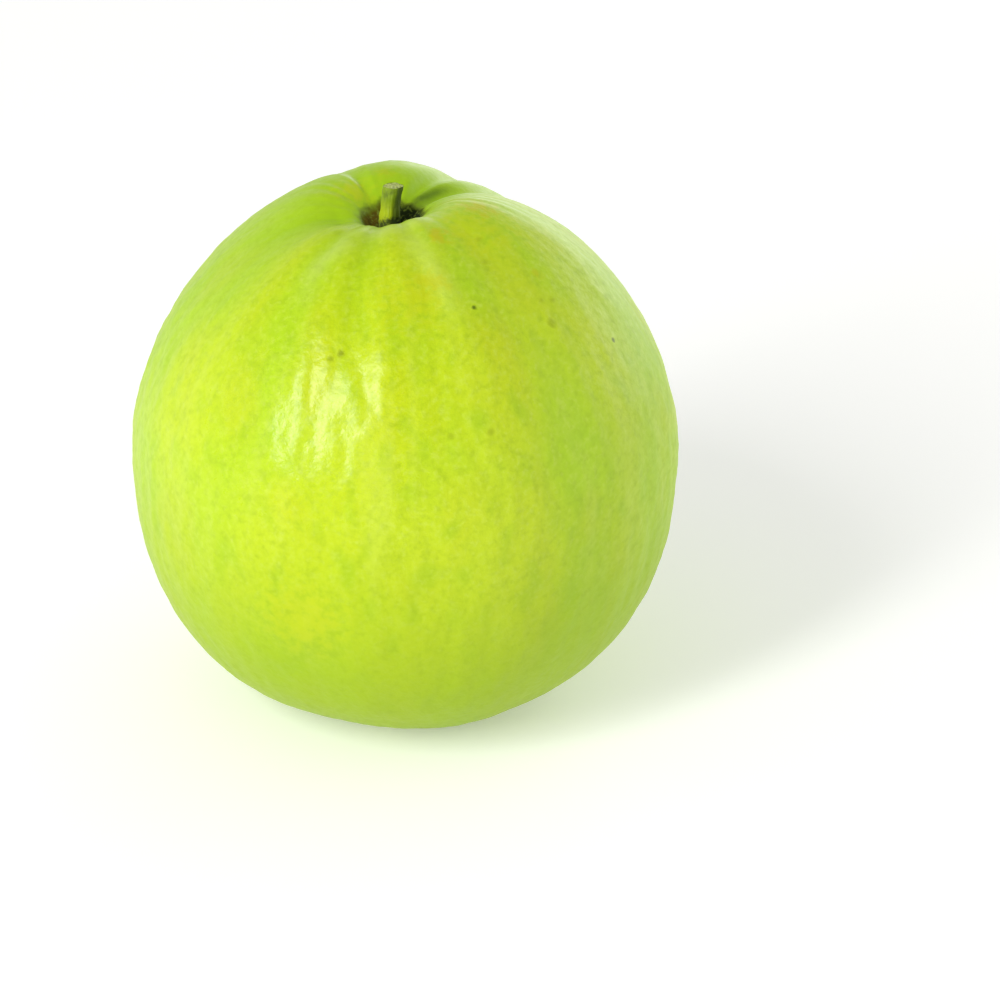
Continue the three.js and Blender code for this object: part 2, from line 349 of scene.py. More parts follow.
class Shader:
    """A material's node tree, with one call for each kind of node used here."""

    def __init__(self, name):
        self.material = bpy.data.materials.new(name)
        self.material.use_nodes = True
        self.tree = self.material.node_tree
        self.surface = self.tree.nodes["Principled BSDF"]

    def node(self, kind, inputs=(), **settings):
        made = self.tree.nodes.new(kind)
        for key, value in settings.items():
            setattr(made, key, value)
        for socket, value in dict(inputs).items():
            self.feed(made.inputs[socket], value)
        return made

    def feed(self, socket, value):
        if isinstance(value, bpy.types.NodeSocket):
            self.tree.links.new(value, socket)
        elif value is not None:
            socket.default_value = value

    def set(self, **inputs):
        for name, value in inputs.items():
            self.feed(self.surface.inputs[name.replace("_", " ")], value)

    def math(self, operation, a, b):
        return self.node("ShaderNodeMath", {0: a, 1: b}, operation=operation).outputs[0]

    def vector(self, operation, a, b):
        return self.node("ShaderNodeVectorMath", {0: a, 1: b}, operation=operation).outputs

    def attribute(self, name):
        return self.node("ShaderNodeAttribute", attribute_name=name).outputs["Fac"]

    def place(self):
        """The point's place in millimetres from the origin of the frame."""
        coordinates = self.node("ShaderNodeTexCoord").outputs["Object"]
        return self.vector("MULTIPLY", coordinates, (1 / MM,) * 3)[0]

    def noise(self, vector, size, detail, roughness):
        """Noise between 0 and 1, with swellings about as wide as size, in millimetres."""
        sizes = size if isinstance(size, tuple) else (size, size, size)
        scaled = self.vector("DIVIDE", vector, sizes)[0]
        inputs = {"Vector": scaled, "Scale": 1.0, "Detail": detail, "Roughness": roughness}
        return self.node("ShaderNodeTexNoise", inputs).outputs["Fac"]

    def cells(self, vector, size):
        """Distance to the nearest of the points scattered about size apart, as a share of size."""
        scaled = self.vector("DIVIDE", vector, (size, size, size))[0]
        inputs = {"Vector": scaled, "Scale": 1.0}
        return self.node("ShaderNodeTexVoronoi", inputs).outputs["Distance"]

    def between(self, value, low, high, to_low=0.0, to_high=1.0):
        """to_low where the value is low, to_high where it is high, and smoothly between them."""
        inputs = {0: value, 1: low, 2: high, 3: to_low, 4: to_high}
        return self.node("ShaderNodeMapRange", inputs, interpolation_type="SMOOTHSTEP").outputs[0]

    def ragged(self, noise, reach):
        """The noise as a value between -reach and reach, to fray an edge with."""
        return self.between(noise, *NOISE_SPAN, -reach, reach)

    def mix(self, factor, a, b):
        made = self.node("ShaderNodeMix", data_type="RGBA")
        self.feed(made.inputs[0], factor)
        self.feed(made.inputs[6], a)
        self.feed(made.inputs[7], b)
        return made.outputs[2]

    def distance(self, place, point):
        """How far a place is from a point about the fruit's middle, in millimetres."""
        return self.vector("DISTANCE", place, tuple(Vector(point) + MIDDLE))["Value"]

    def bump(self, height, distance, normal=None):
        """A normal for a relief as high as distance, over the one given."""
        inputs = {"Height": height, "Distance": distance * MM, "Normal": normal}
        return self.node("ShaderNodeBump", inputs).outputs[0]


def colour(red, green, blue):
    """A colour given as the eye sees it, 0 to 255, made linear for the shaders."""
    share = np.array([red, green, blue]) / 255
    linear = np.where(share <= 0.04045, share / 12.92, ((share + 0.055) / 1.055) ** 2.4)
    return (*linear.tolist(), 1.0)


# Skin colours
LIME = colour(190, 209, 8)
LEAF_GREEN = colour(168, 203, 12)
YELLOW = colour(193, 201, 4)
DEEP = colour(144, 186, 4)
PALE = colour(198, 216, 84)
# Pale tint of the painted sheen
PAINTED_SHEEN_PALE = colour(182, 216, 92)
# Green of the top, darkened in part as painted shade
TOP_GREEN_AND_SHADE = colour(156, 194, 8)
# Colour of the painted shade low on the fruit
LOW_PAINTED_SHADE = colour(150, 179, 0)
MOTTLE_GREEN = colour(142, 174, 0)
# Colour of the painted shade in a crease
CREASE_PAINTED_SHADE = colour(84, 116, 0)
# Pale colour of the crests, partly their own and partly painted sheen
RIDGE_PALE_AND_SHEEN = colour(192, 212, 104)
CAVITY_GREEN = colour(158, 198, 0)
PIT_EDGE_OLIVE = colour(104, 122, 0)
# Painted shade in the pit and in the collar round the stalk's root
PIT_PAINTED_SHADE = colour(28, 42, 0)
PIT_BROWN = colour(98, 84, 0)
PIT_LUMP = colour(126, 146, 50)
OCHRE = colour(186, 186, 0)
OLIVE = colour(140, 156, 6)
SPECK = colour(80, 102, 0)

# The dark pit, painted shade in the recess round the stalk's root: its centre, and how far from it
# the edge starts and ends
PIT_CENTRE = (-2.1, 0.4)
PIT_EDGE = (3.7, 7.0)
# Its brown side, towards -X: how far from the centre it starts, and where it is full
BROWN_SIDE = (1.0, 3.5)

# Marks on the skin: polar angle, azimuth, reach, how strong, colour
MARKS = (
    (20, -43, 9.0, 0.45, YELLOW),
    (35, -87, 8.0, 0.45, YELLOW),
    (30, -20, 7.0, 0.25, YELLOW),
    (105, -112, 10.0, 0.45, YELLOW),
    (60, 70, 11.0, 0.35, YELLOW),
    (80, 160, 9.0, 0.35, YELLOW),
    (10.5, 138, 4.5, 0.6, YELLOW),
    (13, 98, 2.6, 0.35, OCHRE),
    (19.5, -66, 3.0, 0.8, OCHRE),
    (18, -23, 4.5, 0.7, OCHRE),
    (31.5, -78, 3.2, 0.4, OCHRE),
    (40, 110, 3.5, 0.4, OCHRE),
    (36, -38, 1.5, 0.6, OCHRE),
    (38.5, -67, 0.58, 0.9, SPECK),
    (55.5, -27, 0.58, 0.8, SPECK),
    (50, 177, 0.6, 0.6, SPECK),
    (71, 92, 0.6, 0.8, SPECK),
    (96, 38, 0.55, 0.7, SPECK),
    (42, -39.5, 0.9, 0.6, OLIVE),
    (46, -44, 1.2, 0.7, OLIVE),
    (41, -43, 0.8, 0.5, OLIVE),
    (64, -80, 0.9, 0.5, OLIVE),
    (64, -71, 0.9, 0.5, OLIVE),
    (29, -53, 1.1, 0.5, OLIVE),
    (24, -47, 1.0, 0.4, OLIVE),
    (47.5, -108, 0.95, 0.95, OLIVE),
    (49, -110.5, 0.8, 0.7, OLIVE),
    (55, 128, 1.1, 0.7, OLIVE),
    (84, 60, 1.0, 0.6, OLIVE),
    (110, 5, 0.9, 0.6, OLIVE),
    (76, 15, 0.9, 0.5, OLIVE),
)
# How far the mottle frays the edge of a mark, as a share of its reach, and the edge of the pit
MARK_RAGGEDNESS, PIT_RAGGEDNESS = 0.3, 0.4

# A range is two values, and how strong a tint is at each of them: 0 and 1 unless it says more.
# Tints that change slowly over the skin: attribute, range, colour
SLOW_TINTS = (
    # Leafier green: clouds of the skin's own colour, with painted shade greening the sides
    ("leafy", (-0.5, 1.0, 0.0, 1.0), LEAF_GREEN),
    ("warmth", (0.0, 0.8, 0.0, 0.5), YELLOW),
    ("blotches", (0.0, 0.9, 0.0, 0.45), DEEP),
    ("streaks", (0.0, 0.9, 0.0, 0.30), PALE),
)
# Mottle, finer grain and lenticels: size, detail and roughness of the noise, and ranges
MOTTLE_NOISE = (1.6, 2.0, 0.6)
MOTTLE_RANGE = (0.38, 0.8, 0.0, 0.32)
FINE_NOISE = (1.1, 2.0, 0.6)
FINE_PALE_RANGE = (0.45, 0.8, 0.0, 0.40)
FINE_DARK_RANGE = (0.2, 0.5, 0.26, 0.0)
LENTICEL_SPACING = 2.1
LENTICEL_RANGE = (0.05, 0.25, 0.26, 0.0)
# Tints that an attribute shares out as it is: attribute, colour
SHARED_TINTS = (
    # Painted sheen
    ("painted_sheen", PAINTED_SHEEN_PALE),
    # Painted shade low on the fruit
    ("low", LOW_PAINTED_SHADE),
    # The top's green, partly painted shade
    ("top", TOP_GREEN_AND_SHADE),
    ("creased", CAVITY_GREEN),
    # Pale crests, partly painted sheen
    ("pale", RIDGE_PALE_AND_SHEEN),
    # Painted shade in a crease
    ("dark", CREASE_PAINTED_SHADE),
)
# The pit's olive edge and its dark inside, painted shade that deepens into the recess
PIT_OLIVE_RANGE = (0.05, 0.6)
PIT_DARK_RANGE = (0.4, 0.85)
# Pale lumps of corky tissue
CORK_NOISE = (0.7, 1.0, 0.5)
CORK_RANGE = (0.5, 0.7, 0.0, 0.6)

# Roughness away from the glossiest cheek and on it, and how far the mottle changes it either way
DULL_ROUGHNESS, GLOSSY_ROUGHNESS, MOTTLE_ROUGHNESS = 0.46, 0.26, 0.03
SKIN_BUMP, SKIN_IOR = 0.075, 1.36
# Light that goes into the skin: its share, and how far red, green and blue go, in millimetres
UNDER_SKIN, UNDER_SKIN_REACH = 0.1, (1.0, 0.9, 0.25)


def with_cork(shader, place, ground):
    """The ground with pale corky lumps on it, as in the pit and round the stalk's root."""
    lumps = shader.between(shader.noise(place, *CORK_NOISE), *CORK_RANGE)
    return shader.mix(lumps, ground, PIT_LUMP)


def skin_material():
    shader = Shader("guava_skin")
    place = shader.place()
    mottle = shader.noise(place, *MOTTLE_NOISE)
    fine = shader.noise(place, *FINE_NOISE)
    tint = LIME
    for name, span, over in SLOW_TINTS:
        tint = shader.mix(shader.between(shader.attribute(name), *span), tint, over)
    tint = shader.mix(shader.between(mottle, *MOTTLE_RANGE), tint, MOTTLE_GREEN)
    tint = shader.mix(shader.between(fine, *FINE_PALE_RANGE), tint, PALE)
    tint = shader.mix(shader.between(fine, *FINE_DARK_RANGE), tint, MOTTLE_GREEN)
    lenticels = shader.between(shader.cells(place, LENTICEL_SPACING), *LENTICEL_RANGE)
    tint = shader.mix(lenticels, tint, PALE)
    for name, over in SHARED_TINTS:
        tint = shader.mix(shader.attribute(name), tint, over)

    ragged = shader.ragged(mottle, MARK_RAGGEDNESS)
    for polar, azimuth, reach, strength, mark in MARKS:
        away = shader.math("DIVIDE", shader.distance(place, skin_point(polar, azimuth)), reach)
        share = shader.between(shader.math("ADD", away, ragged), 0.0, 1.0, strength, 0.0)
        tint = shader.mix(share, tint, mark)

    # The pit: painted shade, with a brown scar on its -X side and corky lumps
    pit_scar_and_shade = with_cork(shader, place, shader.mix(shader.attribute("pit_scar_and_shade"), PIT_PAINTED_SHADE, PIT_BROWN))
    frayed = shader.math("MULTIPLY", ragged, PIT_RAGGEDNESS)
    edge = shader.math("ADD", shader.attribute("pit"), frayed)
    tint = shader.mix(shader.between(edge, *PIT_OLIVE_RANGE), tint, PIT_EDGE_OLIVE)
    pit = shader.between(edge, *PIT_DARK_RANGE)
    tint = shader.mix(pit, tint, pit_scar_and_shade)

    rough = shader.between(shader.attribute("gloss"), 0.0, 1.0, DULL_ROUGHNESS, GLOSSY_ROUGHNESS)
    rough = shader.math("ADD", rough, shader.ragged(mottle, MOTTLE_ROUGHNESS))
    rough = shader.math("ADD", rough, pit)
    shader.set(Base_Color=tint, Roughness=rough, Normal=shader.bump(fine, SKIN_BUMP), IOR=SKIN_IOR)
    shader.set(Subsurface_Weight=UNDER_SKIN, Subsurface_Radius=UNDER_SKIN_REACH, Subsurface_Scale=MM)
    return shader.material


def skin_grid():
    """Polar angle and azimuth of each point of the skin, ring by ring."""
    polars, start = [], SKIN_FIRST_RING
    for end, count in SKIN_BANDS:
        polars += np.linspace(start, end, count, endpoint=False).tolist()
        start = end
    polar = np.radians([*polars, start])[:, None]
    azimuth = np.linspace(0, 2 * np.pi, AROUND, endpoint=False)[None, :]
    return np.broadcast_arrays(polar, azimuth)


def skin_values(polar, azimuth, smooth, ridges):
    """What the skin's material reads at each point, by the attribute's name."""
    place = grain(polar, azimuth)
    radius, height = profile(polar)
    up = height > 0
    to_top = smooth[..., :2] - TOP_TINT_CENTRE
    top = np.exp(-np.sum(to_top**2, axis=-1) / TOP_TINT_REACH**2)
    # Painted shade: greener away from the front
    painted_side_shade = SIDE_SHADE_GREEN * (1 - beside(azimuth, YELLOW_SIDE, YELLOW_SIDE_WIDTH))
    # Painted sheen: a paler colour standing in for light reflected by the skin
    painted_sheen = PAINTED_SHEEN * np.sin(polar) * (1 - beside(azimuth, PAINTED_SHEEN_GAP, PAINTED_SHEEN_GAP_WIDTH))
    gloss = beside(polar, GLOSS_POLAR, GLOSS_POLAR_REACH)
    gloss = gloss * beside(azimuth, GLOSS_AZIMUTH, GLOSS_AZIMUTH_REACH)
    hollow = np.where(up, HOLLOW_TINT * np.exp(-((radius / HOLLOW_TINT_REACH) ** 2)), 0)
    creased = np.minimum(CREASE_TINT * crease(polar, azimuth) + hollow, MOST_CREASE_TINT)
    to_pit = np.hypot(smooth[..., 0] - PIT_CENTRE[0], smooth[..., 1] - PIT_CENTRE[1])
    pit = np.where(up, 1 - smoothstep(to_pit, *PIT_EDGE), 0)
    # Share of the brown scar in the pit, against its painted shade
    pit_scar_and_shade = smoothstep(PIT_CENTRE[0] - smooth[..., 0], *BROWN_SIDE)
    shares = [share * ridge for (_, _, _, share), ridge in zip(RIDGES, ridges)]
    return {
        "leafy": growth_noise(place, *CLOUDS) + painted_side_shade,
        "warmth": growth_noise(place, *WARMTH),
        "blotches": growth_noise(place, *BLOTCHES) * np.sin(polar),
        "streaks": growth_noise(place, *STREAKS) * np.sin(polar),
        # Painted shade, darker towards the bottom
        "low": LOW_TINT * smoothstep(np.degrees(polar), LOW_TINT_STARTS, LOW_TINT_IS_FULL),
        # Greener and darker round the cavity, partly painted shade on the top
        "top": np.where(up, TOP_TINT * top, 0),
        "painted_sheen": painted_sheen,
        "gloss": gloss,
        "creased": creased,
        "pit": pit,
        "pit_scar_and_shade": pit_scar_and_shade,
        # Paleness of the crests, partly painted sheen
        "pale": np.maximum(np.max(shares, axis=0), 0),
        # Painted shade along grooves
        "dark": np.maximum(-np.min(shares, axis=0), 0),
    }


def add_fruit():
    polar, azimuth = skin_grid()
    smooth = skin(polar, azimuth)
    ridges = [on_ridge(smooth, path, half_width) for path, half_width, _, _ in RIDGES]
    points, faces = loft(skin(polar, azimuth, fine_relief(polar, azimuth, ridges)))
    fruit = make_piece("guava_fruit", points, faces, skin_material(), "fruit", "skin")
    for name, values in skin_values(polar, azimuth, smooth, ridges).items():
        add_attribute(fruit, name, with_poles(values))


# The stalk's radii at its root, neck and cut, and how late it flares and swells to them
STALK_ROOT_RADIUS, STALK_NECK_RADIUS, STALK_CUT_RADIUS = 2.05, 1.60, 1.62
STALK_FLARE_POWER, STALK_SWELL_POWER = 3, 4
# Its axis, a curve from the root towards the bend and on to the centre of the cut
STALK_ROOT = np.array((-2.75, 0.0, 38.0))
STALK_BEND = np.array((-2.8, 0.0, 43.4))
STALK_CUT_CENTRE = np.array((-2.1, -0.2, 47.45))
# The slant of the cut along Y, and the four soft corners of the cut end
STALK_CUT_SLANT, STALK_SLANT_POWER = -0.06, 3
STALK_CORNERS, STALK_SQUARENESS = 4, 0.07
STALK_AROUND, STALK_ROWS, STALK_CUT_ROWS = 96, 70, 14
# The outermost and innermost ring of the cut, as a share of its radius
STALK_CUT_RINGS = (0.97, 0.06)
# Relief of the stalk: how often its noise changes round it and along it, for long fibres and for
# short lumps, with their height and seed
STALK_GRAIN_AROUND, STALK_GRAIN_ALONG = 2.2, 1.2
FIBRE_GRAIN, FIBRE_HEIGHT, FIBRE_SEED = (2.6, 2.6, 1.0), 0.09, 31
LUMP_GRAIN, LUMP_HEIGHT, LUMP_SEED = (0.8, 0.8, 4.0), 0.13, 32
# The torn fibre ends of the cut: how often they change, their height, how deep they lie, seed
TORN_GRAIN, TORN_HEIGHT, TORN_DEPTH, TORN_SEED = 1.9, 0.22, 0.4, 33

STALK_PALE = colour(180, 192, 104)
STALK_GREEN = colour(128, 152, 2)
# Dark green of the stalk's own patches, also laid on as painted shade
STALK_DARK = colour(58, 78, 0)
STALK_FOOT = colour(186, 204, 0)

# Painted shade on the stalk's side towards +X, away from the key light: where it begins across the
# stalk at the root and at the cut, as a share of the radius, how wide its edge is, and how strong it
# is
STALK_SHADE_AT_ROOT, STALK_SHADE_AT_CUT, STALK_SHADE_EDGE, STALK_SHADE = -0.2, 0.3, 0.4, 0.85
# Dark patches and pale fibres of the stalk, and dark fibre ends on the cut
STALK_PATCH_NOISE = (1.6, 3.0, 0.6)
STALK_PATCH_RANGE = (0.45, 0.75, 0.0, 0.7)
STALK_FIBRE_NOISE = ((0.5, 0.5, 5.0), 3.0, 0.6)
STALK_FIBRE_RANGE = (0.55, 0.75, 0.0, 0.45)
TORN_NOISE = (0.45, 3.0, 0.7)
TORN_RANGE = (0.5, 0.68)
# Along the stalk from its root: its brighter foot, and the dark ragged collar below that, painted
# shade where the stalk meets the fruit
FOOT_RANGE = (0.45, 0.8, 0.8, 0.0)
COLLAR_RANGE = (0.30, 0.42, 0.9, 0.0)
COLLAR_RAGGEDNESS = 0.08
STALK_FIBRE_BUMP, TORN_BUMP = 0.25, 0.12
STALK_ROUGHNESS = 0.62


def stalk_material():
    shader = Shader("guava_stalk")
    along = shader.attribute("along")
    place = shader.place()
    long_fibres = shader.noise(place, *STALK_FIBRE_NOISE)
    patches = shader.noise(place, *STALK_PATCH_NOISE)
    torn = shader.noise(place, *TORN_NOISE)
    tint = shader.mix(shader.between(patches, *STALK_PATCH_RANGE), STALK_GREEN, STALK_DARK)
    tint = shader.mix(shader.between(along, *FOOT_RANGE), tint, STALK_FOOT)
    tint = shader.mix(shader.between(long_fibres, *STALK_FIBRE_RANGE), tint, STALK_PALE)
    # Painted shade on the side away from the key light
    tint = shader.mix(shader.attribute("shade"), tint, STALK_DARK)
    height = shader.math("ADD", along, shader.ragged(patches, COLLAR_RAGGEDNESS))
    # Painted shade at the stalk's root
    collar = with_cork(shader, place, PIT_PAINTED_SHADE)
    tint = shader.mix(shader.between(height, *COLLAR_RANGE), tint, collar)
    face = shader.mix(shader.between(torn, *TORN_RANGE), STALK_PALE, STALK_DARK)
    tint = shader.mix(shader.attribute("cut"), tint, face)
    normal = shader.bump(long_fibres, STALK_FIBRE_BUMP)
    normal = shader.bump(torn, TORN_BUMP, normal)
    shader.set(Base_Color=tint, Roughness=STALK_ROUGHNESS, Normal=normal)
    return shader.material


def add_stalk():
    angle = np.linspace(0, 2 * np.pi, STALK_AROUND, endpoint=False)
    turn = np.stack([np.cos(angle), np.sin(angle)], axis=-1)
    rows, along_rows, cut_rows, shade_rows = [], [], [], []

    def add_row(along, share, cut):
        centre = (
            (1 - along) ** 2 * STALK_ROOT
            + 2 * along * (1 - along) * STALK_BEND
            + along**2 * STALK_CUT_CENTRE
        )
        flare = (STALK_ROOT_RADIUS - STALK_NECK_RADIUS) * (1 - along) ** STALK_FLARE_POWER
        swell = (STALK_CUT_RADIUS - STALK_NECK_RADIUS) * along**STALK_SWELL_POWER
        radius = STALK_NECK_RADIUS + flare + swell
        level = np.full(STALK_AROUND, STALK_GRAIN_ALONG * along)
        at = np.column_stack([STALK_GRAIN_AROUND * turn, level])
        fibres = FIBRE_HEIGHT * gradient_noise(at * FIBRE_GRAIN, FIBRE_SEED)
        lumps = LUMP_HEIGHT * gradient_noise(at * LUMP_GRAIN, LUMP_SEED)
        square = 1 + STALK_SQUARENESS * along * np.cos(STALK_CORNERS * angle)
        reach = share * (radius * square + fibres + lumps)
        ring = np.column_stack([centre[:2] + reach[:, None] * turn, np.full(STALK_AROUND, centre[2])])
        ring[:, 2] += along**STALK_SLANT_POWER * STALK_CUT_SLANT * (ring[:, 1] - centre[1])
        ring[:, 2] -= cut * TORN_HEIGHT * (TORN_DEPTH + gradient_noise(ring * TORN_GRAIN, TORN_SEED))
        rows.append(ring)
        along_rows.append(np.full(STALK_AROUND, along))
        cut_rows.append(np.full(STALK_AROUND, cut))
        # Painted shade, beginning further across towards the cut
        shade_from = STALK_SHADE_AT_ROOT + (STALK_SHADE_AT_CUT - STALK_SHADE_AT_ROOT) * along
        shade = smoothstep(np.cos(angle), shade_from, shade_from + STALK_SHADE_EDGE)
        shade_rows.append(STALK_SHADE * shade)

    for along in np.linspace(0, 1, STALK_ROWS):
        add_row(along, 1.0, 0.0)
    for share in np.linspace(*STALK_CUT_RINGS, STALK_CUT_ROWS):
        add_row(1.0, share, 1.0)
    stalk = make_piece("guava_stalk", *loft(rows[::-1]), stalk_material(), "stalk", "stalk")
    for name, values in {"along": along_rows, "cut": cut_rows, "shade": shade_rows}.items():
        add_attribute(stalk, name, with_poles(values[::-1]))


# The calyx's cup: its face, its top in the fruit, its radius, the inset of its rim, its depth
CUP_FACE, CUP_TOP, CUP_RADIUS, CUP_RIM_INSET, CUP_DEPTH = -41.5, -38.2, 4.5, 0.7, 0.7
# Its profile from the top over the rim to the floor: how far in from its side, in insets, height
CUP_PROFILE = (
    (0, CUP_TOP),
    (0, (CUP_FACE + CUP_TOP) / 2),
    (0, CUP_FACE + 0.25),
    (1 / 3, CUP_FACE),
    (1, CUP_FACE),
    (1.4, CUP_FACE + 0.3),
    (2, CUP_FACE + CUP_DEPTH),
)
# The stub of the style in the cup: its profile from its foot to its tip, as a share of its radius
# and a height below the cup's floor
STYLE_RADIUS, STYLE_LENGTH = 0.65, 1.4
STYLE_PROFILE = (
    (3, -0.1),
    (1.6, 0),
    (1, STYLE_LENGTH / 3),
    (1, STYLE_LENGTH * 0.9),
    (0.7, STYLE_LENGTH),
)
CUP_AROUND = 90
CUP_LUMP_SIZE, CUP_LUMP_HEIGHT, CUP_LUMP_SEED = 0.8, 0.12, 51

# Lobes of the calyx: azimuth, length, width, spread, curl
LOBES = (
    (12, 5.2, 4.7, 55, 8),
    (86, 4.6, 4.3, 62, -34),
    (155, 5.3, 4.8, 57, -4),
    (228, 4.8, 4.5, 60, -28),
    (301, 5.0, 4.4, 53, 14),
)
LOBE_THICKNESS, LOBE_ROOT_RADIUS, LOBE_ROOT_DROP = 0.8, 3.7, 0.1
LOBE_STEPS, LOBE_AROUND, LOBE_SEED = 30, 36, 60
# How much narrower and thinner a lobe is at its tip, and how late it narrows
LOBE_NARROWING, LOBE_NARROWING_POWER, LOBE_THINNING = 0.86, 1.5, 0.45
# Its ragged width: how far it strays, and how often. Noise is 0 at whole numbers, so it is read
# half a cell beside them.
LOBE_RAGGEDNESS, LOBE_RAG_GRAIN, HALF_CELL = 0.10, 3.0, 0.5
# Its wrinkles: how often they change across it and along it, their height, how soon they are full
WRINKLE_ACROSS, WRINKLE_ALONG, WRINKLE_HEIGHT, WRINKLE_RISE, WRINKLE_SEED = 0.9, 0.5, 0.22, 4, 7

# Withered threads on the cup's floor: how many, the radius and length of each, and the radius of
# the ring that they stand in
THREADS, THREAD_RADIUS, THREAD_LENGTH, THREAD_RING, THREAD_SEED = 26, 0.11, 1.5, 3.1, 41
THREAD_STEPS, THREAD_AROUND = 6, 6
# Their lean and their bend either way, and how far the lean is turned from outward, in radians
THREAD_LEAN, THREAD_BEND, THREAD_LEAN_TURN = 0.5, 0.5, 1
# The innermost place in the ring, the shortest length and the loss of width at the tip, as shares
THREAD_INMOST, THREAD_SHORTEST, THREAD_THINNING = 0.75, 0.4, 0.4

CALYX_BROWN = colour(96, 62, 16)
CALYX_DARK = colour(44, 28, 8)
CALYX_EDGE = colour(168, 136, 52)

# How near an edge a point counts, from 0 to 1: on a lobe by powers of the shares across it and
# along it, and the same all over the cup and the threads
EDGE_POWER, TIP_POWER, CUP_EDGE, THREAD_EDGE = 3, 4, 0.3, 0.6
CALYX_EDGE_RANGE = (0.55, 1.0, 0.0, 0.8)
CALYX_PATCH_NOISE = (1.4, 4.0, 0.6)
CALYX_PATCH_RANGE = (0.38, 0.64)
CALYX_VEIN_NOISE = ((0.5, 0.5, 2.0), 3.0, 0.6)
CALYX_VEIN_RANGE = (0.56, 0.74, 0.0, 0.5)
CALYX_BUMP, CALYX_ROUGHNESS = 0.3, 0.8


def calyx_material():
    shader = Shader("guava_calyx")
    place = shader.place()
    patches = shader.noise(place, *CALYX_PATCH_NOISE)
    veins = shader.noise(place, *CALYX_VEIN_NOISE)
    tint = shader.mix(shader.between(patches, *CALYX_PATCH_RANGE), CALYX_BROWN, CALYX_DARK)
    tint = shader.mix(shader.between(shader.attribute("edge"), *CALYX_EDGE_RANGE), tint, CALYX_EDGE)
    tint = shader.mix(shader.between(veins, *CALYX_VEIN_RANGE), tint, CALYX_EDGE)
    normal = shader.bump(patches, CALYX_BUMP, shader.bump(veins, CALYX_BUMP))
    shader.set(Base_Color=tint, Roughness=CALYX_ROUGHNESS, Normal=normal)
    return shader.material


def lobe(azimuth, length, width, spread, curl, seed):
    """A curved, wrinkled blade that narrows to a blunt point, and how near its edge each point is."""
    turn = radians(azimuth)
    side = np.array((-np.sin(turn), np.cos(turn), 0))
    outward = np.array((np.cos(turn), np.sin(turn), 0))
    down = np.array((0, 0, -1))
    place = LOBE_ROOT_RADIUS * outward + (0, 0, CUP_FACE + LOBE_ROOT_DROP)
    angle = np.linspace(0, 2 * np.pi, LOBE_AROUND, endpoint=False)
    rows, edges = [], []
    for k in range(LOBE_STEPS + 1):
        along = k / LOBE_STEPS
        lean = radians(spread + curl * along)
        ahead = np.sin(lean) * outward + np.cos(lean) * down
        inner = np.cross(side, ahead)
        at = np.array([[LOBE_RAG_GRAIN * along, HALF_CELL, seed]])
        ragged = 1 + LOBE_RAGGEDNESS * gradient_noise(at, seed)[0]
        half_width = width / 2 * (1 - LOBE_NARROWING * along**LOBE_NARROWING_POWER) * ragged
        half_thickness = LOBE_THICKNESS / 2 * (1 - LOBE_THINNING * along)
        across = half_width * np.cos(angle)
        level = np.full(LOBE_AROUND, length * along * WRINKLE_ALONG)
        folds = np.column_stack([across * WRINKLE_ACROSS, level, np.zeros(LOBE_AROUND)])
        rise = min(WRINKLE_RISE * along, 1)
        wrinkle = WRINKLE_HEIGHT * rise * gradient_noise(folds, seed + WRINKLE_SEED)
        thick = half_thickness * np.sin(angle) + wrinkle
        rows.append(place + across[:, None] * side + thick[:, None] * inner)
        edges.append(np.maximum(np.abs(np.cos(angle)) ** EDGE_POWER, along**TIP_POWER))
        place = place + ahead * length / LOBE_STEPS
    return rows, edges


def circle(around, radius, height):
    """Points round a level circle about the axis."""
    angle = np.linspace(0, 2 * np.pi, around, endpoint=False)
    return np.column_stack([radius * np.cos(angle), radius * np.sin(angle), np.full(around, height)])


def cup():
    """The calyx's cup with the stub of the style in it, and how near its edge each point counts."""
    steps = [(CUP_RADIUS - inset * CUP_RIM_INSET, height) for inset, height in CUP_PROFILE]
    floor = CUP_FACE + CUP_DEPTH
    steps += [(share * STYLE_RADIUS, floor - below) for share, below in STYLE_PROFILE]
    rows = []
    for radius, height in steps:
        ring = circle(CUP_AROUND, radius, height)
        ring[:, 2] += CUP_LUMP_HEIGHT * gradient_noise(ring / CUP_LUMP_SIZE, CUP_LUMP_SEED)
        rows.append(ring)
    return rows, np.full((len(rows), CUP_AROUND), CUP_EDGE)


def thread(draw):
    """One withered thread with a bent tip, and how near its edge each point counts."""
    turn = draw.uniform(0, 2 * np.pi)
    lean = draw.uniform(-THREAD_LEAN, THREAD_LEAN)
    outward = np.array((np.cos(turn), np.sin(turn), 0))
    root = outward * THREAD_RING * draw.uniform(THREAD_INMOST, 1.0)
    root[2] = CUP_FACE + CUP_DEPTH
    lean_turn = turn + THREAD_LEAN_TURN
    ahead = np.array((lean * np.cos(lean_turn), lean * np.sin(lean_turn), -1.0))
    bend = draw.uniform(-THREAD_BEND, THREAD_BEND, 3)
    length = THREAD_LENGTH * draw.uniform(THREAD_SHORTEST, 1.0)
    rows = []
    for along in np.linspace(0, 1, THREAD_STEPS):
        centre = root + length * along * (ahead + bend * along)
        radius = THREAD_RADIUS * (1 - THREAD_THINNING * along)
        rows.append(centre + circle(THREAD_AROUND, radius, 0.0))
    return rows, np.full((THREAD_STEPS, THREAD_AROUND), THREAD_EDGE)


def add_calyx():
    draw = np.random.default_rng(THREAD_SEED)
    shapes = [cup()]
    shapes += [lobe(*values, seed=LOBE_SEED + k) for k, values in enumerate(LOBES)]
    shapes += [thread(draw) for _ in range(THREADS)]
    points, faces = joined([loft(rows) for rows, _ in shapes])
    calyx = make_piece("guava_calyx", points, faces, calyx_material(), "calyx", "calyx")
    add_attribute(calyx, "edge", np.concatenate([with_poles(edges) for _, edges in shapes]))


